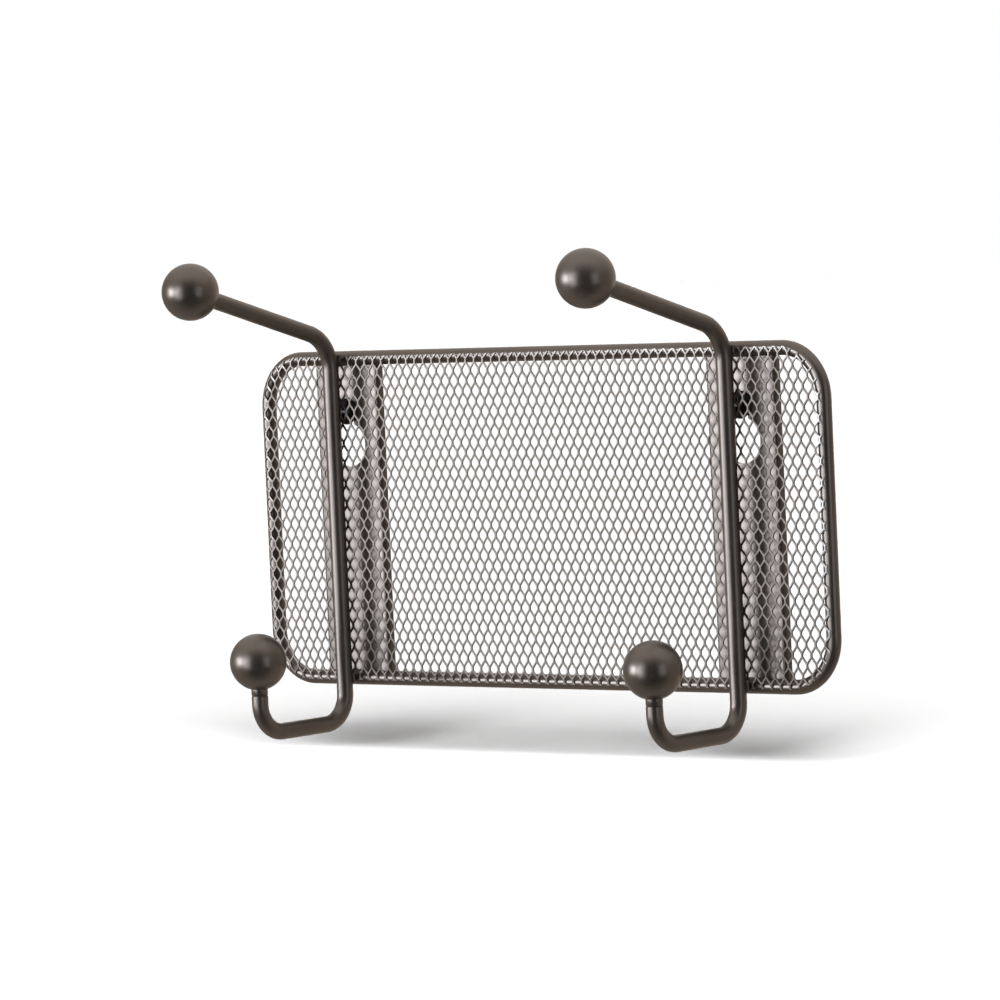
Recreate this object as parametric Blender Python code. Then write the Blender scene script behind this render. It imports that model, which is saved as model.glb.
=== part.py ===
"""Wall coat rack: a framed expanded-metal panel with two double hooks that end in balls.

Frame: +X to the rack's right as seen by a person facing it, -Y out of the wall towards that
person, +Z up. The wall is the plane y = 0 and the panel's middle is on the Z = 0 level.
Lengths are given in millimetres and turned into metres by MM.
"""

import math

import bmesh
import bpy
from mathutils import Matrix, Vector

MM = 0.001
GAP = 0.3  # between pieces that are welded or pressed together

# Perimeter frame, one bent round rod
FRAME_HALF_WIDTH = 143.1  # to the rod's centre line
FRAME_HALF_HEIGHT = 63.6
FRAME_CORNER = 19.0
FRAME_ROD = 5.7
FRAME_Y = -4.8

# Expanded-metal panel on the front of the frame rod
PANEL_THICK = 0.5
PANEL_OVERLAP = 0.8  # the sheet's edge lies this far outside the rod's centre line
PANEL_RIM = 1.9
MESH_PITCH_X = 4.5
MESH_PITCH_Z = 8.04
MESH_STRAND = 0.9
MESH_BOND = 1.3
MESH_COARSE = 3.0  # each opening of this sheet stands for 3 by 3 of the real ones
SMALLEST_OPENING = 0.16  # as a share of a full opening

# Double hooks, one bent rod each
HOOK_X = 101.6
HOOK_ROD = 6.5  # 1/4 inch rod with its paint
UPPER_CORNER_Z = 70.85
UPPER_BEND = 15.5
UPPER_RISE_DEG = 16.15
UPPER_ARM = 80.0  # from the bend's corner to the ball's centre
LOWER_CORNER_Z = -80.6
LOWER_BEND = 11.7
LOWER_ARM = 48.6
LOWER_DROP_DEG = 1.0
LOWER_UPRIGHT = 28.5

# Balls on the rod ends
BALL = 22.4
UPPER_SOCKET_DEPTH = 6.5  # measured from the ball's surface
NECK = 2.4  # the lower balls' short neck below the sphere
SPIGOT = 4.2
SPIGOT_IN_BALL = 7.0

# Wall channels behind the panel, one behind each hook
CHANNEL_WIDTH = 34.0
CHANNEL_DEPTH = 3.35
CHANNEL_SHEET = 1.2
CHANNEL_BEND = 1.8
KEYHOLE_Z = 29.0
KEYHOLE_ROUND = 17.5
KEYHOLE_SLOT = 6.2
KEYHOLE_SLOT_Z = 42.4  # centre of the slot's round top end

# Wall screws, drawn only as far as the wall
SCREW_HEAD = 10.6
SCREW_HEAD_HIGH = 2.4
SCREW_SHANK = 4.2
SCREW_RECESS = 5.4
SCREW_RECESS_WIDE = 1.1
SCREW_RECESS_DEEP = 1.0

ROD_BEVEL = 4  # curve bevel resolution
BEND_STEPS = 9
LATHE_STEPS = 32
BALL_STEPS = 15

HOOK_Y = FRAME_Y - FRAME_ROD / 2 - GAP - PANEL_THICK - GAP - HOOK_ROD / 2


def clear_scene():
    for item in list(bpy.data.objects):
        bpy.data.objects.remove(item, do_unlink=True)


def make_material(name, colour, roughness, metallic):
    material = bpy.data.materials.new(name)
    material.use_nodes = True
    shader = material.node_tree.nodes["Principled BSDF"]
    shader.inputs["Base Color"].default_value = (*colour, 1.0)
    shader.inputs["Roughness"].default_value = roughness
    shader.inputs["Metallic"].default_value = metallic
    return material


def smooth(item, angle_deg=35.0):
    item.data.shade_smooth()
    item.data.set_sharp_from_angle(angle=math.radians(angle_deg))


def new_object(name, data, material):
    item = bpy.data.objects.new(name, data)
    bpy.context.scene.collection.objects.link(item)
    if material is not None:
        data.materials.append(material)
    return item


def bent_line(corners, bends, steps=BEND_STEPS):
    """Points of a line in a plane through the corners, each inner corner rounded to its bend radius."""
    points = [Vector(corners[0])]
    for before, corner, after, bend in zip(corners, corners[1:], corners[2:], bends):
        back = (Vector(before) - Vector(corner)).normalized()
        ahead = (Vector(after) - Vector(corner)).normalized()
        half = back.angle(ahead) / 2
        reach = bend / math.tan(half)
        centre = Vector(corner) + (back + ahead).normalized() * bend / math.sin(half)
        start = Vector(corner) + back * reach - centre
        end = Vector(corner) + ahead * reach - centre
        turn = start.angle(end)
        for step in range(steps + 1):
            share = step / steps
            spoke = start * math.sin((1 - share) * turn) + end * math.sin(share * turn)
            points.append(centre + spoke / math.sin(turn))
    points.append(Vector(corners[-1]))
    return points


def make_rod(name, points, widths, diameter, material, closed=False):
    """A round rod along the points. widths scales the diameter at each point."""
    curve = bpy.data.curves.new(name, "CURVE")
    curve.dimensions = "3D"
    curve.bevel_depth = diameter / 2 * MM
    curve.bevel_resolution = ROD_BEVEL
    curve.use_fill_caps = not closed
    spline = curve.splines.new("POLY")
    spline.points.add(len(points) - 1)
    spline.use_cyclic_u = closed
    for knot, point, width in zip(spline.points, points, widths):
        knot.co = (*(point * MM), 1.0)
        knot.radius = width
    item = new_object(name, curve, material)
    bpy.context.view_layer.update()
    mesh = bpy.data.meshes.new_from_object(item)
    bpy.data.objects.remove(item, do_unlink=True)
    rod = bpy.data.objects.new(name, mesh)
    bpy.context.scene.collection.objects.link(rod)
    weld_caps(rod)
    smooth(rod)
    return rod


def weld_caps(item):
    """Joins the cap's own corners to the tube's and turns every face outwards."""
    work = bmesh.new()
    work.from_mesh(item.data)
    bmesh.ops.remove_doubles(work, verts=work.verts, dist=0.002 * MM)
    bmesh.ops.recalc_face_normals(work, faces=work.faces)
    work.to_mesh(item.data)
    work.free()


def make_frame(material):
    x = FRAME_HALF_WIDTH
    z = FRAME_HALF_HEIGHT
    corners = [
        (0.0, FRAME_Y, z),
        (x, FRAME_Y, z),
        (x, FRAME_Y, -z),
        (-x, FRAME_Y, -z),
        (-x, FRAME_Y, z),
        (0.0, FRAME_Y, z),
    ]
    points = bent_line(corners, [FRAME_CORNER] * 4, steps=12)[:-1]
    return make_rod("frame_loop", points, [1.0] * len(points), FRAME_ROD, material, closed=True)


def rounded_outline(half_x, half_z, corner, steps=10):
    """Corner points of a rounded rectangle in the XZ plane, anticlockwise."""
    points = []
    for quarter, (side_x, side_z) in enumerate(((1, 1), (-1, 1), (-1, -1), (1, -1))):
        for step in range(steps + 1):
            angle = math.radians(90 * quarter + 90 * step / steps)
            across = side_x * (half_x - corner) + corner * math.cos(angle)
            up = side_z * (half_z - corner) + corner * math.sin(angle)
            points.append((across, up))
    return points


def clip_to_outline(polygon, outline):
    """The part of the polygon inside the convex anticlockwise outline."""
    kept = polygon
    for start, end in zip(outline, outline[1:] + outline[:1]):
        edge = (end[0] - start[0], end[1] - start[1])
        sides = [edge[0] * (p[1] - start[1]) - edge[1] * (p[0] - start[0]) for p in kept]
        clipped = []
        for index, point in enumerate(kept):
            other = kept[index - 1]
            side = sides[index]
            other_side = sides[index - 1]
            if (side > 0) != (other_side > 0):
                share = other_side / (other_side - side)
                x = other[0] + (point[0] - other[0]) * share
                z = other[1] + (point[1] - other[1]) * share
                clipped.append((x, z))
            if side > 0:
                clipped.append(point)
        kept = clipped
        if len(kept) < 3:
            return []
    return kept


def area(polygon):
    total = 0.0
    for (x0, z0), (x1, z1) in zip(polygon, polygon[1:] + polygon[:1]):
        total += x0 * z1 - x1 * z0
    return total / 2


def without_short_edges(polygon, shortest):
    kept = []
    for point in polygon:
        if not kept or math.dist(point, kept[-1]) > shortest:
            kept.append(point)
    while len(kept) > 3 and math.dist(kept[0], kept[-1]) <= shortest:
        kept.pop()
    return kept


def opening_shape():
    """One opening of the expanded sheet round its own centre: a diamond with short upright sides."""
    pitch_x = MESH_PITCH_X * MESH_COARSE
    pitch_z = MESH_PITCH_Z * MESH_COARSE
    strand = MESH_STRAND * MESH_COARSE
    bond = MESH_BOND * MESH_COARSE
    run = pitch_x / 2
    rise = pitch_z / 2 - bond
    tip = pitch_z / 2 - bond / 2 - strand / 2 * math.hypot(run, rise) / run
    side_x = pitch_x / 2 - strand / 2
    side_z = tip - side_x * rise / run
    return [
        (side_x, -side_z),
        (side_x, side_z),
        (0.0, tip),
        (-side_x, side_z),
        (-side_x, -side_z),
        (0.0, -tip),
    ]


def openings():
    """Every opening of the panel, cut off along the inside of its rim."""
    half_x = FRAME_HALF_WIDTH + PANEL_OVERLAP - PANEL_RIM
    half_z = FRAME_HALF_HEIGHT + PANEL_OVERLAP - PANEL_RIM
    inside = rounded_outline(half_x, half_z, FRAME_CORNER + PANEL_OVERLAP - PANEL_RIM)
    shape = opening_shape()
    full = area(shape)
    pitch_x = MESH_PITCH_X * MESH_COARSE / 2
    pitch_z = MESH_PITCH_Z * MESH_COARSE / 2
    columns = int(half_x / pitch_x) + 2
    rows = int(half_z / pitch_z) + 2
    found = []
    for column in range(-columns, columns + 1):
        for row in range(-rows, rows + 1):
            if (column + row) % 2:
                continue
            moved = [(x + column * pitch_x, z + row * pitch_z) for x, z in shape]
            cut = without_short_edges(clip_to_outline(moved, inside), 0.25)
            if len(cut) > 2 and area(cut) > SMALLEST_OPENING * full:
                found.append(cut)
    return found


def prisms(name, polygons, front_y, back_y, material=None):
    """One mesh of closed prisms, each polygon of the XZ plane drawn out along Y."""
    work = bmesh.new()
    for polygon in polygons:
        ring = [work.verts.new((x * MM, back_y * MM, z * MM)) for x, z in polygon]
        base = work.faces.new(ring)
        drawn = bmesh.ops.extrude_face_region(work, geom=[base])
        moved = [v for v in drawn["geom"] if isinstance(v, bmesh.types.BMVert)]
        bmesh.ops.translate(work, verts=moved, vec=(0.0, (front_y - back_y) * MM, 0.0))
    bmesh.ops.recalc_face_normals(work, faces=work.faces)
    mesh = bpy.data.meshes.new(name)
    work.to_mesh(mesh)
    work.free()
    return new_object(name, mesh, material)


def cut_away(item, cutter, name):
    cutter.hide_render = True
    cutter.display_type = "WIRE"
    modifier = item.modifiers.new(name, "BOOLEAN")
    modifier.operation = "DIFFERENCE"
    modifier.solver = "EXACT"
    modifier.object = cutter


def make_panel(material):
    back_y = FRAME_Y - FRAME_ROD / 2 - GAP
    front_y = back_y - PANEL_THICK
    half_x = FRAME_HALF_WIDTH + PANEL_OVERLAP
    half_z = FRAME_HALF_HEIGHT + PANEL_OVERLAP
    outline = rounded_outline(half_x, half_z, FRAME_CORNER + PANEL_OVERLAP)
    panel = prisms("mesh_panel", [outline], front_y, back_y, material)
    cutter = prisms("panel_openings", openings(), front_y - 1.0, back_y + 1.0)
    cut_away(panel, cutter, "openings")
    return panel


def hook_corners(side):
    rise = math.radians(UPPER_RISE_DEG)
    drop = math.radians(LOWER_DROP_DEG)
    x = side * HOOK_X
    upper_ball = Vector(
        (x, HOOK_Y - UPPER_ARM * math.cos(rise), UPPER_CORNER_Z + UPPER_ARM * math.sin(rise))
    )
    upper_bend = Vector((x, HOOK_Y, UPPER_CORNER_Z))
    lower_bend = Vector((x, HOOK_Y, LOWER_CORNER_Z))
    front_y = HOOK_Y - LOWER_ARM * math.cos(drop)
    front_z = LOWER_CORNER_Z - LOWER_ARM * math.sin(drop)
    front_bend = Vector((x, front_y, front_z))
    lower_ball = Vector((x, front_y, front_z + LOWER_UPRIGHT))
    return upper_ball, upper_bend, lower_bend, front_bend, lower_ball


def make_hook(name, side, material):
    """One rod from inside the upper ball to inside the lower ball, where it thins to a spigot."""
    upper_ball, upper_bend, lower_bend, front_bend, lower_ball = hook_corners(side)
    upper_way = (upper_bend - upper_ball).normalized()
    upper_end = upper_ball + upper_way * (BALL / 2 - UPPER_SOCKET_DEPTH + GAP)
    shoulder = lower_ball - Vector((0.0, 0.0, neck_end() + GAP))
    spigot_end = lower_ball + Vector((0.0, 0.0, SPIGOT_IN_BALL - BALL / 2))
    corners = [upper_end, upper_bend, lower_bend, front_bend, shoulder]
    points = bent_line(corners, [UPPER_BEND, LOWER_BEND, LOWER_BEND])
    widths = [1.0] * len(points)
    step = Vector((0.0, 0.0, 0.05))
    points += [shoulder + step, spigot_end]
    widths += [SPIGOT / HOOK_ROD, SPIGOT / HOOK_ROD]
    return make_rod(name, points, widths, HOOK_ROD, material)


def neck_end():
    """How far below the ball's centre its neck ends."""
    return math.sqrt((BALL / 2) ** 2 - (HOOK_ROD / 2) ** 2) + NECK


def turned(name, profile, material, place):
    """A round piece turned about its own Z axis from (radius, height) pairs, outer side from top down."""
    work = bmesh.new()
    corners = [work.verts.new((radius * MM, 0.0, height * MM)) for radius, height in profile]
    for one, next_one in zip(corners, corners[1:]):
        work.edges.new((one, next_one))
    mesh = bpy.data.meshes.new(name)
    work.to_mesh(mesh)
    work.free()
    item = new_object(name, mesh, material)
    screw = item.modifiers.new("turn", "SCREW")
    screw.axis = "Z"
    screw.angle = math.tau
    screw.steps = LATHE_STEPS
    screw.render_steps = LATHE_STEPS
    screw.use_merge_vertices = True
    screw.merge_threshold = 0.00001
    screw.use_normal_calculate = True
    item.matrix_world = place
    bpy.context.view_layer.update()
    graph = bpy.context.evaluated_depsgraph_get()
    done = bpy.data.meshes.new_from_object(item.evaluated_get(graph))
    bpy.data.objects.remove(item, do_unlink=True)
    piece = bpy.data.objects.new(name, done)
    bpy.context.scene.collection.objects.link(piece)
    piece.matrix_world = place
    weld_caps(piece)
    smooth(piece)
    return piece


def arc_profile(radius, from_deg, to_deg, steps):
    """(radius, height) pairs on a sphere, angles measured from its top pole."""
    pairs = []
    for step in range(steps + 1):
        angle = math.radians(from_deg + (to_deg - from_deg) * step / steps)
        pairs.append((radius * math.sin(angle), radius * math.cos(angle)))
    return pairs


def make_upper_ball(name, side, material):
    """A ball with a plain blind hole that takes the rod at full thickness. Its hole points down its own axis."""
    upper_ball, upper_bend = hook_corners(side)[:2]
    hole = HOOK_ROD / 2 + GAP
    mouth = 180 - math.degrees(math.asin(hole / (BALL / 2)))
    profile = [(0.0, BALL / 2)]
    profile += arc_profile(BALL / 2, 0, mouth, BALL_STEPS)[1:]
    floor = UPPER_SOCKET_DEPTH - BALL / 2
    profile += [(hole, floor), (0.0, floor)]
    way = (upper_bend - upper_ball).normalized()
    turn = way.to_track_quat("-Z", "Y").to_matrix().to_4x4()
    return turned(name, profile, material, Matrix.Translation(upper_ball * MM) @ turn)


def make_lower_ball(name, side, material):
    """A ball with a short neck as thick as the rod, bored for the rod's spigot."""
    lower_ball = hook_corners(side)[4]
    neck = HOOK_ROD / 2
    hole = SPIGOT / 2 + GAP
    meet = 180 - math.degrees(math.asin(neck / (BALL / 2)))
    profile = [(0.0, BALL / 2)]
    profile += arc_profile(BALL / 2, 0, meet, BALL_STEPS)[1:]
    floor = SPIGOT_IN_BALL - BALL / 2 + GAP
    profile += [(neck, -neck_end()), (hole, -neck_end()), (hole, floor), (0.0, floor)]
    return turned(name, profile, material, Matrix.Translation(lower_ball * MM))


def channel_section():
    """Cross-section of a wall channel in plan: a flat front with two short sides that reach the wall."""
    half = CHANNEL_WIDTH / 2
    inner_half = half - CHANNEL_SHEET
    outer = bent_line(
        [(-half, 0.0, 0.0), (-half, -CHANNEL_DEPTH, 0.0), (half, -CHANNEL_DEPTH, 0.0), (half, 0.0, 0.0)],
        [CHANNEL_BEND] * 2,
        steps=6,
    )
    inner_y = CHANNEL_SHEET - CHANNEL_DEPTH
    inner = bent_line(
        [
            (inner_half, 0.0, 0.0),
            (inner_half, inner_y, 0.0),
            (-inner_half, inner_y, 0.0),
            (-inner_half, 0.0, 0.0),
        ],
        [CHANNEL_BEND - CHANNEL_SHEET] * 2,
        steps=4,
    )
    return outer + inner


def keyhole_outline(x, round_width, slot_width):
    """A round hole with a narrower slot above it that ends in a half circle."""
    big = round_width / 2
    small = slot_width / 2
    start = math.degrees(math.asin(small / big))
    outline = []
    for step in range(41):
        angle = math.radians(90 - start - (360 - 2 * start) * step / 40)
        outline.append((x + big * math.cos(angle), KEYHOLE_Z + big * math.sin(angle)))
    for step in range(15):
        angle = math.radians(180 - 180 * step / 14)
        outline.append((x + small * math.cos(angle), KEYHOLE_SLOT_Z + small * math.sin(angle)))
    return outline


def make_channel(name, side, material):
    x = side * HOOK_X
    half_height = FRAME_HALF_HEIGHT - FRAME_ROD / 2 - GAP
    work = bmesh.new()
    ring = []
    for point in channel_section():
        ring.append(work.verts.new(((x + point.x) * MM, point.y * MM, -half_height * MM)))
    base = work.faces.new(ring)
    drawn = bmesh.ops.extrude_face_region(work, geom=[base])
    moved = [v for v in drawn["geom"] if isinstance(v, bmesh.types.BMVert)]
    bmesh.ops.translate(work, verts=moved, vec=(0.0, 0.0, 2 * half_height * MM))
    bmesh.ops.recalc_face_normals(work, faces=work.faces)
    mesh = bpy.data.meshes.new(name)
    work.to_mesh(mesh)
    work.free()
    channel = new_object(name, mesh, material)
    outline = keyhole_outline(x, KEYHOLE_ROUND, KEYHOLE_SLOT)
    cutter = prisms(name + "_keyhole", [outline], -CHANNEL_DEPTH - 1.0, 0.5)
    cut_away(channel, cutter, "keyhole")
    smooth(channel)
    return channel


def make_screw(name, side, material):
    """A truss-head screw hung in the slot's top end, with a cross recess, cut off at the wall."""
    seat = CHANNEL_DEPTH + GAP
    head = SCREW_HEAD / 2
    shank = SCREW_SHANK / 2
    dome = (head**2 + SCREW_HEAD_HIGH**2) / (2 * SCREW_HEAD_HIGH)
    spread = math.degrees(math.asin((head - 0.35) / dome))
    profile = []
    for radius, height in arc_profile(dome, 0, spread, 6):
        profile.append((radius, seat + SCREW_HEAD_HIGH + height - dome))
    profile += [(head, seat + 0.25), (head - 0.1, seat), (shank, seat), (shank, 0.0), (0.0, 0.0)]
    forward = Matrix.Rotation(math.radians(90), 4, "X")
    middle = Vector((side * HOOK_X, 0.0, KEYHOLE_SLOT_Z)) * MM
    screw = turned(name, profile, material, Matrix.Translation(middle) @ forward)
    arm = SCREW_RECESS / 2
    half = SCREW_RECESS_WIDE / 2
    cross = [
        (half, half),
        (half, arm),
        (-half, arm),
        (-half, half),
        (-arm, half),
        (-arm, -half),
        (-half, -half),
        (-half, -arm),
        (half, -arm),
        (half, -half),
        (arm, -half),
        (arm, half),
    ]
    moved = [(x + side * HOOK_X, z + KEYHOLE_SLOT_Z) for x, z in cross]
    front = -seat - SCREW_HEAD_HIGH
    cutter = prisms(name + "_recess", [moved], front - 1.0, front + SCREW_RECESS_DEEP)
    cut_away(screw, cutter, "recess")
    return screw


def main():
    clear_scene()
    bronze = (0.085, 0.068, 0.055)
    make_frame(make_material("frame_paint", bronze, 0.38, 0.75))
    make_panel(make_material("mesh_paint", (0.11, 0.09, 0.075), 0.42, 0.7))
    for side, word in ((-1, "left"), (1, "right")):
        make_channel(word + "_wall_channel", side, make_material(word + "_channel_paint", bronze, 0.4, 0.7))
        make_screw(word + "_wall_screw", side, make_material(word + "_screw_black", (0.02, 0.02, 0.02), 0.45, 0.6))
        make_hook(word + "_hook_rod", side, make_material(word + "_rod_paint", bronze, 0.33, 0.8))
        make_upper_ball(word + "_upper_ball", side, make_material(word + "_upper_paint", bronze, 0.33, 0.8))
        make_lower_ball(word + "_lower_ball", side, make_material(word + "_lower_paint", bronze, 0.33, 0.8))


main()
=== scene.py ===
"""Looks of the wall coat rack: fine rods, balls, real expanded mesh, paint, light and camera.

Everything is in metres in the CAD's own frame: x along the rack, -y out of the wall, +z up.
"""

import math
import random

import bmesh
import bpy
from mathutils import Matrix, Vector


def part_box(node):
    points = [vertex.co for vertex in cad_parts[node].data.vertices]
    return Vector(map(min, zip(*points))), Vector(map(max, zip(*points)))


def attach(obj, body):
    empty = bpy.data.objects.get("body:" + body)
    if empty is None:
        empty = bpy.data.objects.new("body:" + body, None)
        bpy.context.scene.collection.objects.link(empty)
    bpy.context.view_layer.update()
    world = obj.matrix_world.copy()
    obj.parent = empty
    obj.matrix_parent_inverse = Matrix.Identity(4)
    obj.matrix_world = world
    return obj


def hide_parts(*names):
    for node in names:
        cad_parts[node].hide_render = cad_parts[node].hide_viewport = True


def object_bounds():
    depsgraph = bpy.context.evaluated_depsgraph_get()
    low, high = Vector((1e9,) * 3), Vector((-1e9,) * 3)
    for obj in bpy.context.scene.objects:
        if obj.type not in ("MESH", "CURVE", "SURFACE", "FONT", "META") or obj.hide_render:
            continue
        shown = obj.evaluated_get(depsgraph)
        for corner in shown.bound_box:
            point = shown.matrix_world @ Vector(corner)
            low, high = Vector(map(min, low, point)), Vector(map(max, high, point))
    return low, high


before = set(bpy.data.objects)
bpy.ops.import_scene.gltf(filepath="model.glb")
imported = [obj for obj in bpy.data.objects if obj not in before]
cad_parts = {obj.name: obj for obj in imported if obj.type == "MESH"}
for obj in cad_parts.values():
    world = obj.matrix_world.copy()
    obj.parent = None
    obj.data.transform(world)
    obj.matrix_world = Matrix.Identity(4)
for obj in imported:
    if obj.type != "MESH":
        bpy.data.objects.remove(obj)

MM = 0.001
CAD_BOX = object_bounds()

# ---------------------------------------------------------------- sizes, read from the frame

FRAME_LOW, FRAME_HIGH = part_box("frame_loop")
FRAME_RADIUS = (FRAME_HIGH.y - FRAME_LOW.y) / 2
FRAME_Y = (FRAME_HIGH.y + FRAME_LOW.y) / 2
FRAME_HALF_X = FRAME_HIGH.x - FRAME_RADIUS
FRAME_HALF_Z = FRAME_HIGH.z - FRAME_RADIUS
FRAME_CORNER = 19.0 * MM

PANEL_LOW, PANEL_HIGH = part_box("mesh_panel")
PANEL_MIDDLE_Y = (PANEL_LOW.y + PANEL_HIGH.y) / 2
PANEL_HALF_X = PANEL_HIGH.x
PANEL_HALF_Z = PANEL_HIGH.z
PANEL_CORNER = FRAME_CORNER + PANEL_HALF_X - FRAME_HALF_X
PANEL_STRAIGHT_X = PANEL_HALF_X - PANEL_CORNER
PANEL_STRAIGHT_Z = PANEL_HALF_Z - PANEL_CORNER

ROD_LOW, ROD_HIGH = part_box("right_hook_rod")
SKIN = 0.01 * MM  # round pieces stay this far inside the CAD's flats
HOOK_X = (ROD_LOW.x + ROD_HIGH.x) / 2
HOOK_RADIUS = (ROD_HIGH.x - ROD_LOW.x) / 2 - SKIN
HOOK_Y = ROD_HIGH.y - (ROD_HIGH.x - ROD_LOW.x) / 2

BALL_LOW, BALL_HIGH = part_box("right_lower_ball")
BALL_RADIUS = (BALL_HIGH.x - BALL_LOW.x) / 2 - 5 * SKIN

CHANNEL_LOW, CHANNEL_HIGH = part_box("right_wall_channel")
CHANNEL_HALF = (CHANNEL_HIGH.x - CHANNEL_LOW.x) / 2
CHANNEL_FRONT = CHANNEL_LOW.y

# Shape of the hooks, as the CAD rods are bent
UPPER_CORNER_Z = 70.85 * MM
UPPER_BEND = 15.5 * MM
UPPER_RISE = math.radians(16.15)
UPPER_ARM = 80.0 * MM
LOWER_CORNER_Z = -80.6 * MM
LOWER_BEND = 11.7 * MM
LOWER_ARM = 48.6 * MM
LOWER_DROP = math.radians(1.0)
LOWER_UPRIGHT = 28.5 * MM

# How the balls sit on the rods
NECK = 2.4 * MM
NECK_CHAMFER = 0.3 * MM
SEAM_GAP = 0.12 * MM
CHAMFER_SHARE = 0.93  # of the rod's radius, on both sides of the seam
PEG_SHARE = 0.62
PEG_HOLE_SHARE = 0.64
ARM_HOLE_GAP = 0.03 * MM
ARM_INTO_BALL = BALL_RADIUS * 0.5
BORE_FLOOR = -BALL_RADIUS * 0.45

# Wall channels, as the CAD sheet is folded and cut
CHANNEL_SHEET = 1.2 * MM
CHANNEL_BEND = 1.8 * MM
KEYHOLE_Z = 29.0 * MM
KEYHOLE_ROUND = 17.5 * MM
KEYHOLE_SLOT = 6.2 * MM
KEYHOLE_SLOT_Z = 42.4 * MM
KEYHOLE_EDGE = 0.2 * MM

# Expanded mesh
PITCH_X = 4.495 * MM
PITCH_Z = 8.044 * MM
STRAND = 0.75 * MM
BOND = 1.4 * MM
STRAND_EDGE = 0.08 * MM
LEAST_SIDE = 0.02 * MM
SHEET_HALF = 0.2 * MM
STRAND_SLOPE = 0.44  # each strand's face is turned to the right by this slope
FLAT_RIM = 1.2 * MM  # the strands are pressed flat this near to the sheet's edge
FLAT_FADE = 3.0 * MM
MESH_TURN = math.radians(0.165)
MESH_LEAN = math.radians(-0.72)
MESH_SHIFT = Vector((-0.60 * MM, 0.0, 1.367 * MM))
WRAP_START = 0.9 * MM  # inside the frame rod's middle line, where the sheet starts to bend back
WRAP_OVER = 0.4 * MM  # the bend's radius is larger than the frame rod's by this
HIGHLIGHT_RIM = 1.9 * MM  # painted highlight: the strands are painted lighter this near to the sheet's edge
HIGHLIGHT_FADE = 0.9 * MM
SAME_POINT = 0.002 * MM

# Weld beads
CHANNEL_WELD_HALF = 9 * MM
CHANNEL_WELD_RADIUS = 0.55 * MM
CHANNEL_WELD_SINK = 0.15 * MM
HOOK_WELD_HALF = 2.0 * MM
HOOK_WELD_RADIUS = 0.8 * MM
HOOK_WELD_SINK = 0.25 * MM
HOOK_WELD_ASIDE = 2.1 * MM
BEAD_RIPPLE = 0.06
BEAD_WAVES = 34
BEAD_CHANCE = 0.03

# Paint
BRONZE = (0.200, 0.172, 0.150)
SCREW_BLACK = (0.035, 0.033, 0.032)
# painted highlight: the light colour of the mesh's edge strands, standing in for the light they
# catch
EDGE_HIGHLIGHT_COLOUR = (0.62, 0.59, 0.56)
TONE_SCALE = 38.0  # the slow changes of tone and gloss
TONE_SWING = 0.10
GLOSS_SWING = 0.03
NOISE_LOW = 0.3  # most of a noise texture's values lie between these two
NOISE_HIGH = 0.7
GRAIN_STRENGTH = 0.35

# Studio: how bright the room looks to the rack, and the floor's own light
LIGHT_DISTANCE = 3.0
KEY_COLOUR = (0.93, 0.985, 1.08)
SIDES_COLOUR = (1.0, 0.87, 0.75)
ABOVE_COLOUR = (1.0, 0.97, 0.95)
DARK_AZIMUTH = math.radians(40.0)  # the room is dark on the camera's side
DARK_DROP = 0.21
DARK_SHARE = 0.08
DARK_INNER = 0.92
DARK_OUTER = 0.15
ROOM_SIDES = 0.29
ROOM_ABOVE = 0.45
ROOM_ABOVE_FROM = 0.15
ROOM_ABOVE_FULL = 0.95
BACKDROP = 0.29
BACKDROP_WAY = (-0.36, 0.92, 0.12)
BACKDROP_OUTER = 0.5
BACKDROP_INNER = 0.97
FLOOR_HALF = 12.0
FLOOR_DROP = 9.0 * MM
FLOOR_TONE = 0.15
FLOOR_LIGHT = 38.0
FLOOR_LIGHT_SPREAD = math.radians(38.0)
FLOOR_LIGHT_TILT = math.radians(58.0)
FLOOR_LIGHT_AZIMUTH = math.radians(42.0)
FLOOR_BLOCKERS = ("frame_rod_fine", "expanded_mesh", "left_channel_fine", "right_channel_fine")

# Camera
CAMERA_AZIMUTH = 41.97
CAMERA_ELEVATION = 2.61
CAMERA_ROLL = math.radians(-2.54)
CAMERA_DISTANCE = 2409.2 * MM
CAMERA_CENTRE = (-20.24 * MM, -4.9 * MM, 6.73 * MM)
CAMERA_RAISE = 0.195 * MM
CAMERA_LEFT = 0.35 * MM
CAMERA_SENSOR = 36.0
CAMERA_LENS = 222.84
CAMERA_SEES_TO = 50.0


# ---------------------------------------------------------------- materials


def noise(tree, place, scale, detail):
    node = tree.nodes.new("ShaderNodeTexNoise")
    node.inputs["Scale"].default_value = scale
    node.inputs["Detail"].default_value = detail
    tree.links.new(place, node.inputs["Vector"])
    return node.outputs["Fac"]


def tinted(tree, source, colour):
    """The colour, a little darker where the noise is low and lighter where it is high."""
    ramp = tree.nodes.new("ShaderNodeValToRGB")
    ends = ((NOISE_LOW, 1 - TONE_SWING), (NOISE_HIGH, 1 + TONE_SWING))
    for element, (position, share) in zip(ramp.color_ramp.elements, ends):
        element.position = position
        element.color = (*(channel * share for channel in colour), 1.0)
    tree.links.new(source, ramp.inputs["Fac"])
    return ramp.outputs["Color"]


def painted_highlight(tree, paint, highlight_colour):
    """The paint, mixed towards a light colour where the mesh's attribute for the painted edge
    highlight says so.
    """
    edge_highlight = tree.nodes.new("ShaderNodeAttribute")
    edge_highlight.attribute_name = "edge_highlight"
    mix = tree.nodes.new("ShaderNodeMix")
    mix.data_type = "RGBA"
    mix.inputs["B"].default_value = (*highlight_colour, 1.0)
    tree.links.new(edge_highlight.outputs["Fac"], mix.inputs["Factor"])
    tree.links.new(paint, mix.inputs["A"])
    return mix.outputs["Result"]


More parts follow.
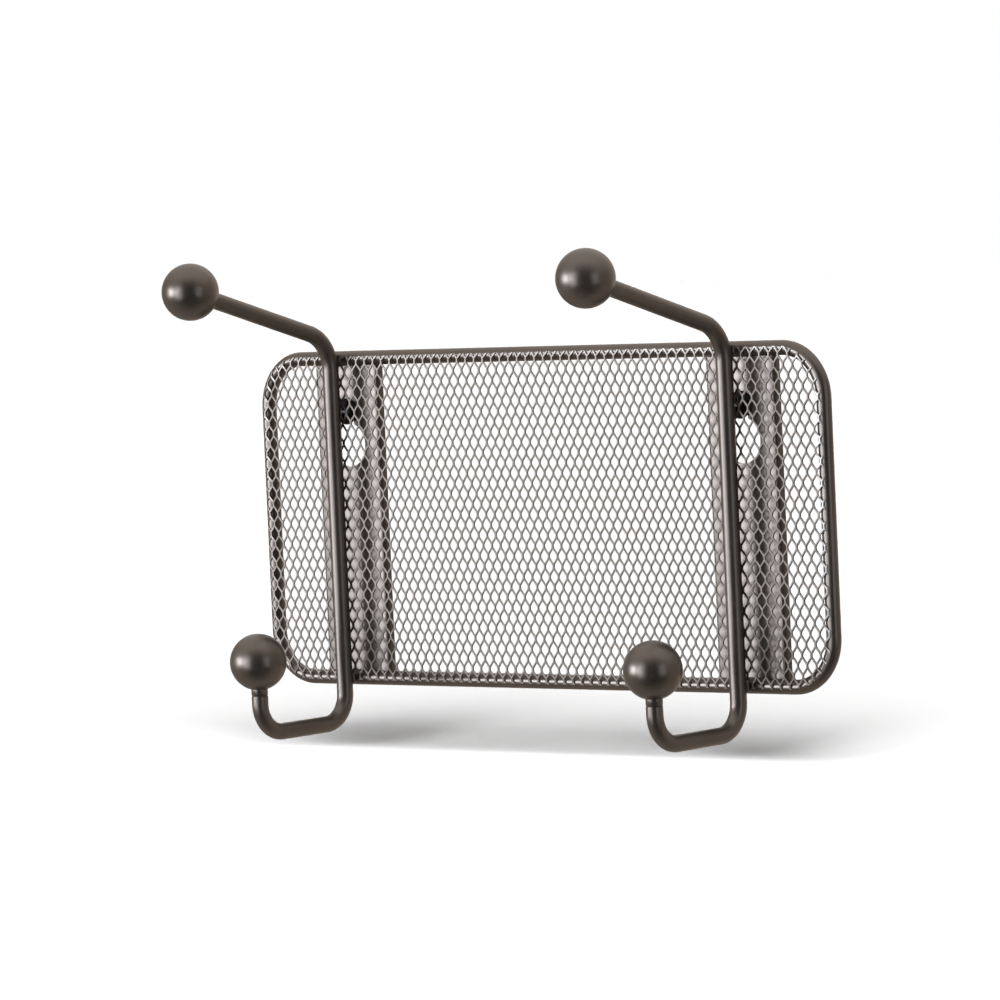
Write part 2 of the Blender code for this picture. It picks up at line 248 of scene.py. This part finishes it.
def painted_metal(name, colour, roughness, grain_scale, grain_depth, highlight=None):
    """Satin powder coat on steel: fine orange-peel grain, slow changes of tone and gloss, and,
    when given, a painted highlight on the mesh's edge strands.
    """
    material = bpy.data.materials.new(name)
    material.use_nodes = True
    tree = material.node_tree
    shader = tree.nodes["Principled BSDF"]
    shader.inputs["Metallic"].default_value = 0.9
    shader.inputs["Coat Weight"].default_value = 0.2
    shader.inputs["Coat Roughness"].default_value = 0.22

    place = tree.nodes.new("ShaderNodeTexCoord").outputs["Object"]
    tone = noise(tree, place, TONE_SCALE, 4.0)
    paint = tinted(tree, tone, colour)
    # painted highlight: lighter paint on the mesh's edge strands
    if highlight:
        paint = painted_highlight(tree, paint, highlight)
    tree.links.new(paint, shader.inputs["Base Color"])

    gloss = tree.nodes.new("ShaderNodeMapRange")
    gloss.inputs["From Min"].default_value = NOISE_LOW
    gloss.inputs["From Max"].default_value = NOISE_HIGH
    gloss.inputs["To Min"].default_value = roughness - GLOSS_SWING
    gloss.inputs["To Max"].default_value = roughness + GLOSS_SWING
    tree.links.new(tone, gloss.inputs["Value"])
    tree.links.new(gloss.outputs["Result"], shader.inputs["Roughness"])

    bump = tree.nodes.new("ShaderNodeBump")
    bump.inputs["Strength"].default_value = GRAIN_STRENGTH
    bump.inputs["Distance"].default_value = grain_depth
    tree.links.new(noise(tree, place, grain_scale, 2.0), bump.inputs["Height"])
    tree.links.new(bump.outputs["Normal"], shader.inputs["Normal"])
    tree.links.new(bump.outputs["Normal"], shader.inputs["Coat Normal"])
    return material


ROD_PAINT = painted_metal("rod_paint", BRONZE, 0.36, 900.0, 0.00002)
BALL_PAINT = painted_metal("ball_paint", BRONZE, 0.34, 700.0, 0.00002)
FRAME_PAINT = painted_metal("frame_paint", BRONZE, 0.34, 900.0, 0.00002)
# the mesh's edge strands get a painted highlight
MESH_PAINT = painted_metal("mesh_paint", BRONZE, 0.36, 2200.0, 0.00001, highlight=EDGE_HIGHLIGHT_COLOUR)
CHANNEL_PAINT = painted_metal("channel_paint", BRONZE, 0.33, 600.0, 0.00002)
SCREW_FINISH = painted_metal("screw_finish", SCREW_BLACK, 0.52, 1500.0, 0.00002)


def paint_node(name, material):
    """Gives a CAD node that stays its finish."""
    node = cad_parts[name]
    node.data.materials.clear()
    node.data.materials.append(material)


# ---------------------------------------------------------------- geometry helpers


def finish_piece(name, work, material, replaced=(), sharp=40.0):
    """Turns a bmesh into a shown piece that rides on the rack."""
    bmesh.ops.recalc_face_normals(work, faces=work.faces)
    mesh = bpy.data.meshes.new(name)
    work.to_mesh(mesh)
    work.free()
    mesh.shade_smooth()
    mesh.set_sharp_from_angle(angle=math.radians(sharp))
    piece = bpy.data.objects.new(name, mesh)
    bpy.context.scene.collection.objects.link(piece)
    mesh.materials.append(material)
    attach(piece, "root")
    if replaced:
        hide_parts(*replaced)
    return piece


def bent_line(corners, bends, steps):
    """Points through the corners, each inner corner rounded to its bend radius."""
    points = [Vector(corners[0])]
    for before, corner, after, bend in zip(corners, corners[1:], corners[2:], bends):
        back = (Vector(before) - Vector(corner)).normalized()
        ahead = (Vector(after) - Vector(corner)).normalized()
        half = back.angle(ahead) / 2
        reach = bend / math.tan(half)
        centre = Vector(corner) + (back + ahead).normalized() * bend / math.sin(half)
        start = Vector(corner) + back * reach - centre
        end = Vector(corner) + ahead * reach - centre
        turn = start.angle(end)
        for step in range(steps + 1):
            share = step / steps
            spoke = start * math.sin((1 - share) * turn) + end * math.sin(share * turn)
            points.append(centre + spoke / math.sin(turn))
    points.append(Vector(corners[-1]))
    return points


def ring_of(work, centre, across, up, radius, sides):
    ring = []
    for side in range(sides):
        angle = math.tau * side / sides
        spoke = across * math.cos(angle) + up * math.sin(angle)
        ring.append(work.verts.new(centre + spoke * radius))
    return ring


def bridge(work, one, two):
    """A closed band of faces between two rings of as many points."""
    count = len(one)
    for index in range(count):
        after = (index + 1) % count
        work.faces.new((one[index], one[after], two[after], two[index]))


def swept_rod(work, points, radii, flat_axis, sides=40, closed=False):
    """A round rod through points that lie in a plane with the normal flat_axis."""
    count = len(points)
    rings = []
    for index, (point, radius) in enumerate(zip(points, radii)):
        before = points[index - 1] if closed or index else point
        after = points[(index + 1) % count] if closed or index < count - 1 else point
        way = (after - before).normalized()
        across = way.cross(flat_axis).normalized()
        rings.append(ring_of(work, point, across, flat_axis, radius, sides))
    for one, two in zip(rings, rings[1:]):
        bridge(work, one, two)
    if closed:
        bridge(work, rings[-1], rings[0])
    else:
        work.faces.new(rings[0])
        work.faces.new(rings[-1])


def turned(work, profile, place, sides=72):
    """A round piece from (radius, height) pairs about its own z axis, put in place by a matrix."""
    rings = []
    for radius, height in profile:
        if radius < 1e-9:
            rings.append([work.verts.new(place @ Vector((0, 0, height)))])
            continue
        ring = []
        for side in range(sides):
            angle = math.tau * side / sides
            point = Vector((radius * math.cos(angle), radius * math.sin(angle), height))
            ring.append(work.verts.new(place @ point))
        rings.append(ring)
    for one, two in zip(rings, rings[1:]):
        if len(one) == 1 or len(two) == 1:
            tip, ring = (one[0], two) if len(one) == 1 else (two[0], one)
            for index in range(len(ring)):
                work.faces.new((tip, ring[index], ring[(index + 1) % len(ring)]))
        else:
            bridge(work, one, two)


def arc(centre, radius, from_deg, to_deg, steps):
    """(x, y) points of an arc in its own plane."""
    points = []
    for step in range(steps + 1):
        angle = math.radians(from_deg + (to_deg - from_deg) * step / steps)
        x = centre[0] + radius * math.cos(angle)
        y = centre[1] + radius * math.sin(angle)
        points.append((x, y))
    return points


# ---------------------------------------------------------------- perimeter frame


def make_frame():
    corners = [
        (0, FRAME_Y, FRAME_HALF_Z),
        (FRAME_HALF_X, FRAME_Y, FRAME_HALF_Z),
        (FRAME_HALF_X, FRAME_Y, -FRAME_HALF_Z),
        (-FRAME_HALF_X, FRAME_Y, -FRAME_HALF_Z),
        (-FRAME_HALF_X, FRAME_Y, FRAME_HALF_Z),
        (0, FRAME_Y, FRAME_HALF_Z),
    ]
    points = bent_line(corners, [FRAME_CORNER] * 4, steps=24)[:-1]
    work = bmesh.new()
    swept_rod(work, points, [FRAME_RADIUS] * len(points), Vector((0, 1, 0)), closed=True)
    finish_piece("frame_rod_fine", work, FRAME_PAINT, ["frame_loop"])


# ---------------------------------------------------------------- expanded mesh


def outline_planes():
    """(point, outward normal) of the flats that together trim the sheet to its rounded outline."""
    planes = []
    steps = 8
    for quarter, (side_x, side_z) in enumerate(((1, 1), (-1, 1), (-1, -1), (1, -1))):
        centre = Vector((side_x * PANEL_STRAIGHT_X, 0, side_z * PANEL_STRAIGHT_Z))
        for step in range(steps + 1):
            angle = math.radians(90 * quarter + 90 * step / steps)
            out = Vector((math.cos(angle), 0, math.sin(angle)))
            planes.append((centre + out * PANEL_CORNER, out))
    return planes


def inside_by(x, z):
    """How far a point of the sheet lies inside the trimmed outline."""
    over_x = abs(x) - PANEL_STRAIGHT_X
    over_z = abs(z) - PANEL_STRAIGHT_Z
    if over_x > 0 and over_z > 0:
        return PANEL_CORNER - math.hypot(over_x, over_z)
    return min(PANEL_HALF_X - abs(x), PANEL_HALF_Z - abs(z))


def opening_ring(inset):
    """The six corners of an opening whose edge lies inset from the strands' middle lines."""
    run = PITCH_X / 2
    rise = PITCH_Z / 2 - BOND
    tip = PITCH_Z / 2 - BOND / 2 - inset * math.hypot(run, rise) / run
    side_x = PITCH_X / 2 - inset
    side_z = max(tip - side_x * rise / run, LEAST_SIDE)
    return [
        (side_x, -side_z),
        (side_x, side_z),
        (0.0, tip),
        (-side_x, side_z),
        (-side_x, -side_z),
        (0.0, -tip),
    ]


def add_cell(work, place):
    """One opening with half of each strand round it: front, cut edge and back."""
    half = STRAND / 2
    levels = [
        (0.0, -SHEET_HALF),
        (half - STRAND_EDGE, -SHEET_HALF),
        (half, STRAND_EDGE - SHEET_HALF),
        (half, SHEET_HALF - STRAND_EDGE),
        (half - STRAND_EDGE, SHEET_HALF),
        (0.0, SHEET_HALF),
    ]
    middle_line = opening_ring(0.0)
    rings = []
    for inset, depth in levels:
        ring = []
        for (x, z), (line_x, _) in zip(opening_ring(inset), middle_line):
            point = place @ Vector((x, 0.0, z))
            lean = (inside_by(point.x, point.z) - FLAT_RIM) / FLAT_FADE
            lean = min(max(lean, 0.0), 1.0)
            point.y = PANEL_MIDDLE_Y + depth + STRAND_SLOPE * lean * (x - line_x)
            ring.append(work.verts.new(point))
        rings.append(ring)
    for one, two in zip(rings, rings[1:]):
        bridge(work, one, two)


def add_cells(inner, border):
    """All openings of the sheet: whole ones into inner, and those to be trimmed into border."""
    turn = Matrix.Rotation(MESH_TURN, 4, "Y")
    turn[0][2] += math.tan(MESH_LEAN)
    columns = int(PANEL_HALF_X / PITCH_X * 2) + 3
    rows = int(PANEL_HALF_Z / PITCH_Z * 2) + 3
    for column in range(-columns, columns + 1):
        for row in range(-rows, rows + 1):
            if (column + row) % 2:
                continue
            middle = Vector((column * PITCH_X / 2, 0, row * PITCH_Z / 2)) + MESH_SHIFT
            place = turn @ Matrix.Translation(middle)
            centre = place.translation
            inside = inside_by(centre.x, centre.z)
            if inside >= -PITCH_Z:
                add_cell(inner if inside > PITCH_Z else border, place)


def trim_border(border):
    """Cuts the border's openings at the sheet's outline and closes the cut strands."""
    for point, out in outline_planes():
        bmesh.ops.bisect_plane(
            border,
            geom=border.verts[:] + border.edges[:] + border.faces[:],
            plane_co=point,
            plane_no=out,
            clear_outer=True,
        )
    bmesh.ops.remove_doubles(border, verts=border.verts, dist=SAME_POINT)
    open_edges = [edge for edge in border.edges if edge.is_boundary]
    bmesh.ops.holes_fill(border, edges=open_edges, sides=24)


def wrap_edge(work):
    """The sheet's outermost strands follow the frame rod's roundness."""
    start = PANEL_HALF_X - FRAME_HALF_X + WRAP_START
    bend = FRAME_RADIUS + WRAP_OVER
    for vert in work.verts:
        past = start - inside_by(vert.co.x, vert.co.z)
        if past > 0:
            vert.co.y += bend - math.sqrt(max(bend * bend - past * past, 0.0))


def make_mesh():
    inner = bmesh.new()
    border = bmesh.new()
    add_cells(inner, border)
    trim_border(border)
    spare = bpy.data.meshes.new("border")
    border.to_mesh(spare)
    border.free()
    inner.from_mesh(spare)
    bpy.data.meshes.remove(spare)
    bmesh.ops.remove_doubles(inner, verts=inner.verts, dist=SAME_POINT)
    wrap_edge(inner)
    piece = finish_piece(
        "expanded_mesh", inner, MESH_PAINT, ["mesh_panel"], sharp=50.0
    )
    # painted highlight: a point attribute that lightens the paint near the sheet's edge
    edge_highlight = piece.data.attributes.new("edge_highlight", "FLOAT", "POINT")
    for vert in piece.data.vertices:
        fade = (HIGHLIGHT_RIM - inside_by(vert.co.x, vert.co.z)) / HIGHLIGHT_FADE
        edge_highlight.data[vert.index].value = min(max(fade, 0.0), 1.0)


# ---------------------------------------------------------------- hooks and balls


def hook_corners(side):
    """Upper ball, upper bend, lower bend, front bend and lower ball of a hook."""
    x = side * HOOK_X
    ball_y = HOOK_Y - UPPER_ARM * math.cos(UPPER_RISE)
    ball_z = UPPER_CORNER_Z + UPPER_ARM * math.sin(UPPER_RISE)
    front_y = HOOK_Y - LOWER_ARM * math.cos(LOWER_DROP)
    front_z = LOWER_CORNER_Z - LOWER_ARM * math.sin(LOWER_DROP)
    return (
        Vector((x, ball_y, ball_z)),
        Vector((x, HOOK_Y, UPPER_CORNER_Z)),
        Vector((x, HOOK_Y, LOWER_CORNER_Z)),
        Vector((x, front_y, front_z)),
        Vector((x, front_y, front_z + LOWER_UPRIGHT)),
    )


def neck_end():
    """How far the lower ball's neck ends below the ball's middle."""
    return math.sqrt(BALL_RADIUS**2 - HOOK_RADIUS**2) + NECK


def make_hook(side, word):
    upper_ball, upper_bend, lower_bend, front_bend, lower_ball = hook_corners(side)
    upper_end = upper_ball + (upper_bend - upper_ball).normalized() * ARM_INTO_BALL
    up = Vector((0, 0, 1))
    shoulder = lower_ball - Vector((0, 0, neck_end() + SEAM_GAP))
    corners = [upper_end, upper_bend, lower_bend, front_bend, shoulder]
    points = bent_line(corners, [UPPER_BEND, LOWER_BEND, LOWER_BEND], steps=22)[:-1]
    radii = [HOOK_RADIUS] * len(points)
    # The rod's end: its chamfer, its shoulder and the peg that goes into the ball's neck
    ends = [(-0.25, 1.0), (0.0, CHAMFER_SHARE), (0.02, PEG_SHARE), (3.0, PEG_SHARE)]
    for height, share in ends:
        points.append(shoulder + up * height * MM)
        radii.append(HOOK_RADIUS * share)
    work = bmesh.new()
    swept_rod(work, points, radii, Vector((1, 0, 0)))
    finish_piece(word + "_hook_rod_fine", work, ROD_PAINT, [word + "_hook_rod"])


def ball_skin(mouth_radius):
    """(radius, height) pairs of the ball from its top down to an opening of that radius."""
    mouth = math.degrees(math.asin(mouth_radius / BALL_RADIUS))
    return [(0.0, BALL_RADIUS)] + arc((0, 0), BALL_RADIUS, 90, mouth - 90, 44)[1:]


def make_upper_ball(side, word):
    """A ball with a bore for the upper arm's end."""
    upper_ball, upper_bend = hook_corners(side)[:2]
    hole = HOOK_RADIUS + ARM_HOLE_GAP
    profile = ball_skin(hole) + [(hole, BORE_FLOOR), (0.0, BORE_FLOOR)]
    way = (upper_bend - upper_ball).normalized()
    turn = way.to_track_quat("-Z", "Y").to_matrix().to_4x4()
    work = bmesh.new()
    turned(work, profile, Matrix.Translation(upper_ball) @ turn)
    finish_piece(word + "_upper_ball_fine", work, BALL_PAINT, [word + "_upper_ball"])


def make_lower_ball(side, word):
    """A ball with a short neck, which meets the lower hook's rod at a seam."""
    lower_ball = hook_corners(side)[4]
    hole = HOOK_RADIUS * PEG_HOLE_SHARE
    end = -neck_end()
    profile = ball_skin(HOOK_RADIUS) + [
        (HOOK_RADIUS, end + NECK_CHAMFER),
        (HOOK_RADIUS * CHAMFER_SHARE, end),
        (hole, end),
        (hole, BORE_FLOOR),
        (0.0, BORE_FLOOR),
    ]
    work = bmesh.new()
    turned(work, profile, Matrix.Translation(lower_ball))
    finish_piece(word + "_lower_ball_fine", work, BALL_PAINT, [word + "_lower_ball"])


# ---------------------------------------------------------------- wall channels


def channel_section():
    """Outline of the folded sheet, seen from above: outer line, then the inner one back."""
    half = CHANNEL_HALF
    outer = bent_line(
        [(-half, 0, 0), (-half, CHANNEL_FRONT, 0), (half, CHANNEL_FRONT, 0), (half, 0, 0)],
        [CHANNEL_BEND] * 2,
        steps=8,
    )
    inset = half - CHANNEL_SHEET
    inner_front = CHANNEL_FRONT + CHANNEL_SHEET
    inner = bent_line(
        [(inset, 0, 0), (inset, inner_front, 0), (-inset, inner_front, 0), (-inset, 0, 0)],
        [CHANNEL_BEND - CHANNEL_SHEET] * 2,
        steps=8,
    )
    return outer + inner


def prism(work, outline, low, high):
    """A straight bar between two copies of a flat outline."""
    one = [work.verts.new(Vector(point) + Vector(low)) for point in outline]
    two = [work.verts.new(Vector(point) + Vector(high)) for point in outline]
    bridge(work, one, two)
    work.faces.new(one)
    work.faces.new(two)


def keyhole_outline(x):
    """A round opening that runs up into a slot with a round top."""
    big = KEYHOLE_ROUND / 2
    small = KEYHOLE_SLOT / 2
    meet = math.degrees(math.asin(small / big))
    points = arc((x, KEYHOLE_Z), big, 90 + meet, 450 - meet, 60)
    points += arc((x, KEYHOLE_SLOT_Z), small, 0, 180, 24)
    return [(px, 0, pz) for px, pz in points]


def scratch_object(name, work):
    """An object that is only needed for a cut, and is removed after it."""
    mesh = bpy.data.meshes.new(name)
    bmesh.ops.recalc_face_normals(work, faces=work.faces)
    work.to_mesh(mesh)
    work.free()
    item = bpy.data.objects.new(name, mesh)
    bpy.context.scene.collection.objects.link(item)
    return item


def on_keyhole_rim(edge, x):
    """Whether an edge runs round the keyhole on the channel's front."""
    for vert in edge.verts:
        if abs(vert.co.y - CHANNEL_FRONT) > 0.01 * MM:
            return False
        if abs(vert.co.x - x) > KEYHOLE_ROUND * 0.51:
            return False
        if abs(vert.co.z - KEYHOLE_Z) > KEYHOLE_ROUND:
            return False
    return len(edge.link_faces) == 2 and edge.calc_face_angle(0.0) > 1.0


def make_channel(side, word):
    x = side * HOOK_X
    reach = FRAME_HALF_Z - math.sqrt(FRAME_RADIUS**2 - (CHANNEL_FRONT - FRAME_Y) ** 2)
    section = [point + Vector((x, 0, 0)) for point in channel_section()]
    work = bmesh.new()
    prism(work, section, (0, 0, -reach), (0, 0, reach))
    bar = scratch_object(word + "_channel_bar", work)
    work = bmesh.new()
    prism(work, keyhole_outline(x), (0, CHANNEL_FRONT - MM, 0), (0, 0.5 * MM, 0))
    cutter = scratch_object(word + "_keyhole_cutter", work)
    cut = bar.modifiers.new("keyhole", "BOOLEAN")
    cut.operation = "DIFFERENCE"
    cut.solver = "EXACT"
    cut.object = cutter
    ready = bar.evaluated_get(bpy.context.evaluated_depsgraph_get())
    work = bmesh.new()
    work.from_mesh(ready.to_mesh())
    for item in (bar, cutter):
        bpy.data.objects.remove(item, do_unlink=True)
    rim = [edge for edge in work.edges if on_keyhole_rim(edge, x)]
    bmesh.ops.bevel(work, geom=rim, offset=KEYHOLE_EDGE, segments=2, affect="EDGES")
    replaced = [word + "_wall_channel"]
    name = word + "_channel_fine"
    finish_piece(name, work, CHANNEL_PAINT, replaced, sharp=30.0)


# ---------------------------------------------------------------- welds


def weld(name, start, end, radius, seed):
    """A short uneven bead between two points, along the rack or straight up."""
    dice = random.Random(seed)
    start = Vector(start)
    end = Vector(end)
    steps = 14
    points = []
    radii = []
    for step in range(steps + 1):
        share = step / steps
        points.append(start.lerp(end, share))
        swell = math.sqrt(max(1 - (2 * share - 1) ** 6, 0.02))
        ripple = 1 + BEAD_RIPPLE * math.sin(share * BEAD_WAVES)
        ripple += dice.uniform(-BEAD_CHANCE, BEAD_CHANCE)
        radii.append(radius * swell * ripple)
    work = bmesh.new()
    swept_rod(work, points, radii, Vector((0, 1, 0)), sides=14)
    finish_piece(name, work, FRAME_PAINT, sharp=60.0)


def make_welds(side, word):
    """At top and bottom: a bead along the channel's end, and one on each side of the hook."""
    x = side * HOOK_X
    seam_y = CHANNEL_FRONT - CHANNEL_WELD_SINK
    bead_y = HOOK_Y + HOOK_RADIUS - HOOK_WELD_SINK
    for end, place in ((1, "top"), (-1, "bottom")):
        seam_z = end * (FRAME_HALF_Z - FRAME_RADIUS * 0.93)
        weld(
            f"{word}_{place}_channel_weld",
            (x - CHANNEL_WELD_HALF, seam_y, seam_z),
            (x + CHANNEL_WELD_HALF, seam_y, seam_z),
            CHANNEL_WELD_RADIUS,
            seed=11 + 2 * side + end,
        )
        for way, which in ((-1, "left"), (1, "right")):
            bead_x = x + way * HOOK_WELD_ASIDE
            weld(
                f"{word}_{place}_{which}_hook_weld",
                (bead_x, bead_y, end * FRAME_HALF_Z - HOOK_WELD_HALF),
                (bead_x, bead_y, end * FRAME_HALF_Z + HOOK_WELD_HALF),
                HOOK_WELD_RADIUS,
                seed=31 + 8 * side + 2 * end + way,
            )


# ---------------------------------------------------------------- light, floor and camera


def outward(azimuth, elevation):
    """Unit vector from the rack to a place given in degrees; 0, 0 is straight out of the wall."""
    a = math.radians(azimuth)
    e = math.radians(elevation)
    return Vector((math.sin(a) * math.cos(e), -math.cos(a) * math.cos(e), math.sin(e)))


def area_light(name, azimuth, elevation, wide, high, radiance):
    """A soft box of the given size and brightness, LIGHT_DISTANCE from the rack and facing it."""
    data = bpy.data.lights.new(name, "AREA")
    data.shape = "RECTANGLE"
    data.size = wide
    data.size_y = high
    data.energy = math.pi * wide * high * radiance
    data.color = KEY_COLOUR
    light = bpy.data.objects.new(name, data)
    light.visible_camera = False
    bpy.context.scene.collection.objects.link(light)
    place = outward(azimuth, elevation) * LIGHT_DISTANCE
    light.location = place
    light.rotation_mode = "QUATERNION"
    light.rotation_quaternion = (-place).to_track_quat("-Z", "Y")


def make_lights():
    area_light("key", azimuth=-39, elevation=3.5, wide=1.0, high=0.9, radiance=6.5)
    area_light("key_wide", azimuth=-32, elevation=3, wide=2.8, high=1.2, radiance=2.6)
    area_light("key_strip", azimuth=-6, elevation=2, wide=1.4, high=2.4, radiance=1.6)
    area_light("fill_right", azimuth=78, elevation=2, wide=1.3, high=2.0, radiance=0.73)


def along(tree, way, axis):
    """How far a direction points along an axis."""
    node = tree.nodes.new("ShaderNodeVectorMath")
    node.operation = "DOT_PRODUCT"
    node.inputs[1].default_value = axis
    tree.links.new(way, node.inputs[0])
    return node.outputs["Value"]


def smooth_range(tree, source, start, end, low, high):
    """Goes smoothly from low to high as the source goes from start to end."""
    node = tree.nodes.new("ShaderNodeMapRange")
    node.interpolation_type = "SMOOTHSTEP"
    node.inputs["From Min"].default_value = start
    node.inputs["From Max"].default_value = end
    node.inputs["To Min"].default_value = low
    node.inputs["To Max"].default_value = high
    tree.links.new(source, node.inputs["Value"])
    return node.outputs["Result"]


def make_world():
    """White as the camera sees it, and a dim room for what the rack reflects.

    The room is darkest on the camera's side, and brightest overhead and behind the rack.
    """
    world = bpy.data.worlds.new("studio")
    bpy.context.scene.world = world
    world.use_nodes = True
    tree = world.node_tree
    nodes = tree.nodes
    links = tree.links
    nodes.clear()

    way = nodes.new("ShaderNodeTexCoord").outputs["Generated"]
    dark_way = (math.sin(DARK_AZIMUTH), -math.cos(DARK_AZIMUTH), -DARK_DROP)
    facing = along(tree, way, dark_way)
    lit = smooth_range(tree, facing, DARK_INNER, DARK_OUTER, DARK_SHARE, 1.0)

    parts = nodes.new("ShaderNodeSeparateXYZ")
    links.new(way, parts.inputs[0])
    height = parts.outputs["Z"]
    brightest = ROOM_SIDES + ROOM_ABOVE
    above = smooth_range(tree, height, ROOM_ABOVE_FROM, ROOM_ABOVE_FULL, ROOM_SIDES, brightest)
    behind = along(tree, way, BACKDROP_WAY)
    backdrop = smooth_range(tree, behind, BACKDROP_OUTER, BACKDROP_INNER, 0.0, BACKDROP)

    total = nodes.new("ShaderNodeMath")
    total.operation = "MULTIPLY_ADD"
    for index, value in enumerate((lit, above, backdrop)):
        links.new(value, total.inputs[index])

    colour = nodes.new("ShaderNodeMix")
    colour.data_type = "RGBA"
    colour.inputs["A"].default_value = (*SIDES_COLOUR, 1)
    colour.inputs["B"].default_value = (*ABOVE_COLOUR, 1)
    links.new(height, colour.inputs["Factor"])
    room = nodes.new("ShaderNodeBackground")
    links.new(colour.outputs["Result"], room.inputs["Color"])
    links.new(total.outputs["Value"], room.inputs["Strength"])
    white = nodes.new("ShaderNodeBackground")
    white.inputs["Color"].default_value = (1, 1, 1, 1)
    rays = nodes.new("ShaderNodeLightPath")
    mix = nodes.new("ShaderNodeMixShader")
    out = nodes.new("ShaderNodeOutputWorld")
    links.new(rays.outputs["Is Camera Ray"], mix.inputs[0])
    links.new(room.outputs[0], mix.inputs[1])
    links.new(white.outputs[0], mix.inputs[2])
    links.new(mix.outputs[0], out.inputs["Surface"])


def make_floor():
    """A floor under the lower hooks that looks white in the wide soft light it has of its own.

    Only the pieces in FLOOR_BLOCKERS stand in that light, which comes from the front.
    """
    size = FLOOR_HALF
    z = CAD_BOX[0].z - FLOOR_DROP
    corners = [(-size, -size, z), (size, -size, z), (size, size, z), (-size, size, z)]
    mesh = bpy.data.meshes.new("floor")
    mesh.from_pydata(corners, [], [(0, 1, 2, 3)])
    floor = bpy.data.objects.new("floor", mesh)
    bpy.context.scene.collection.objects.link(floor)
    floor.visible_glossy = False
    material = bpy.data.materials.new("floor")
    material.use_nodes = True
    shader = material.node_tree.nodes["Principled BSDF"]
    shader.inputs["Base Color"].default_value = (FLOOR_TONE, FLOOR_TONE, FLOOR_TONE, 1)
    shader.inputs["Roughness"].default_value = 0.9
    shader.inputs["Specular IOR Level"].default_value = 0.0
    mesh.materials.append(material)

    only_floor = bpy.data.collections.new("floor_only")
    only_floor.objects.link(floor)
    blockers = bpy.data.collections.new("floor_blockers")
    for name in FLOOR_BLOCKERS:
        blockers.objects.link(bpy.data.objects[name])
    data = bpy.data.lights.new("floor_light", "SUN")
    data.energy = FLOOR_LIGHT
    data.angle = FLOOR_LIGHT_SPREAD
    light = bpy.data.objects.new("floor_light", data)
    light.rotation_euler = (FLOOR_LIGHT_TILT, 0, FLOOR_LIGHT_AZIMUTH)
    bpy.context.scene.collection.objects.link(light)
    light.light_linking.receiver_collection = only_floor
    light.light_linking.blocker_collection = blockers


def make_camera():
    """Long lens, right of the rack and a little above it, with a slight roll."""
    back = outward(CAMERA_AZIMUTH, CAMERA_ELEVATION)
    right = (-back).cross(Vector((0, 0, 1))).normalized()
    up = right.cross(-back)
    turned_right = right * math.cos(CAMERA_ROLL) + up * math.sin(CAMERA_ROLL)
    turned_up = up * math.cos(CAMERA_ROLL) - right * math.sin(CAMERA_ROLL)
    centre = Vector(CAMERA_CENTRE)
    centre += turned_up * CAMERA_RAISE - turned_right * CAMERA_LEFT
    data = bpy.data.cameras.new("camera")
    data.sensor_width = CAMERA_SENSOR
    data.lens = CAMERA_LENS
    data.clip_end = CAMERA_SEES_TO
    camera = bpy.data.objects.new("camera", data)
    bpy.context.scene.collection.objects.link(camera)
    turn = Matrix((turned_right, turned_up, back)).transposed().to_4x4()
    camera.matrix_world = Matrix.Translation(centre + back * CAMERA_DISTANCE) @ turn
    bpy.context.scene.camera = camera


def main():
    make_camera()
    make_world()
    make_lights()
    make_frame()
    make_mesh()
    for side, word in ((-1, "left"), (1, "right")):
        make_hook(side, word)
        make_upper_ball(side, word)
        make_lower_ball(side, word)
        make_channel(side, word)
        make_welds(side, word)
        paint_node(word + "_wall_screw", SCREW_FINISH)
    make_floor()
    bpy.context.scene.view_settings.view_transform = "Standard"


main()
